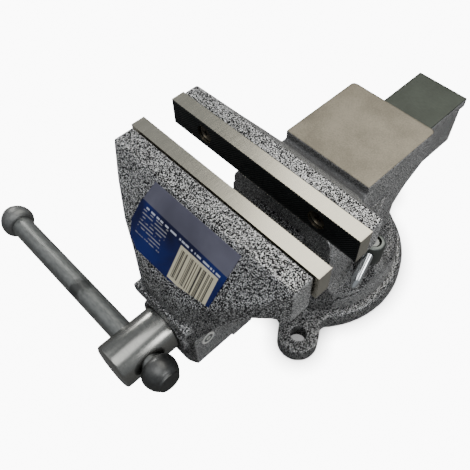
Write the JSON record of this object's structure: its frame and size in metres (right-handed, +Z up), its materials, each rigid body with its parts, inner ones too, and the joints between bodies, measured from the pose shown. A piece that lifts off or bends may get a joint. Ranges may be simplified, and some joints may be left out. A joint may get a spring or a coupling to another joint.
{
  "type": "bench vise",
  "caption": "Swivel-base bench vise with a fixed jaw and rear anvil, and a moving jaw on a slide bar that a screw with a sliding cross handle drives.",
  "frame": {"origin": "on the swivel axis, at the underside of the base, where it meets the bench", "axes": "+X to the right of a person at the handle, +Y from the handle end to the anvil end, +Z up"},
  "size_m": [0.1942, 0.2795, 0.129],
  "materials": {
    "casting_paint": "silver hammertone paint with dark speckle; anvil face and slide bar ground bare",
    "jaw_plate_steel": "ground, with a diagonal serrated gripping face",
    "plate_screw_zinc": "yellow zinc plated",
    "spindle_steel": "turned, lightly oiled",
    "bright_zinc": "zinc plated",
    "knob_steel": "dark turned steel",
    "spring_steel": "oiled spring wire",
    "nut_iron": "bare, oiled",
    "label_film": "printed film",
    "sticker_film": "plain paper-faced film"
  },
  "bodies": {
    "base": {"swivel_base": "casting_paint"},
    "body": {"fixed_jaw_body": "casting_paint", "fixed_jaw_plate": "jaw_plate_steel", "fixed_plate_screw_right": "plate_screw_zinc", "fixed_plate_screw_left": "plate_screw_zinc", "screw_nut": "nut_iron", "nut_bolt": "bright_zinc", "lock_bolt_right": "bright_zinc", "lock_bolt_left": "bright_zinc"},
    "moving_jaw": {"moving_jaw": "casting_paint", "moving_jaw_plate": "jaw_plate_steel", "moving_plate_screw_right": "plate_screw_zinc", "moving_plate_screw_left": "plate_screw_zinc", "front_label": "label_film", "round_sticker": "sticker_film"},
    "spindle": {"spindle": "spindle_steel", "thrust_washer": "bright_zinc", "take_up_spring": "spring_steel", "spring_keeper": "bright_zinc", "keeper_pin": "bright_zinc"},
    "handle": {"handle_bar": "bright_zinc", "handle_knob_right": "knob_steel", "handle_knob_left": "knob_steel"},
    "right_lock": {"lock_nut_right": "spindle_steel", "lock_lever_right": "bright_zinc"},
    "left_lock": {"lock_nut_left": "spindle_steel", "lock_lever_left": "bright_zinc"}
  },
  "joints": [
    {"name": "swivel", "type": "hinge", "parent": "base", "child": "body", "pos_m": [0, 0, 0], "axis": [0, 0, 1], "continuous": true},
    {"name": "jaw_slide", "type": "slide", "parent": "body", "child": "moving_jaw", "axis": [0, -1, 0], "range_m": [-0.0175, 0.105]},
    {"name": "spindle_turn", "type": "hinge", "parent": "moving_jaw", "child": "spindle", "pos_m": [0, -0.141, 0.0545], "axis": [0, -1, 0], "range_deg": [-1260, 7560]},
    {"name": "handle_slide", "type": "slide", "parent": "spindle", "child": "handle", "axis": [0.9973, 0, 0.0732], "range_m": [0, 0.104]},
    {"name": "right_lock_turn", "type": "hinge", "parent": "body", "child": "right_lock", "pos_m": [0.043, 0, 0.045], "axis": [0, 0, 1], "range_deg": [-14, 134]},
    {"name": "left_lock_turn", "type": "hinge", "parent": "body", "child": "left_lock", "pos_m": [-0.043, 0, 0.045], "axis": [0, 0, 1], "range_deg": [-134, 14]}
  ],
  "couplings": [
    {"joint": "jaw_slide", "follows": "spindle_turn", "m_per_rad": 0.00079577}
  ]
}
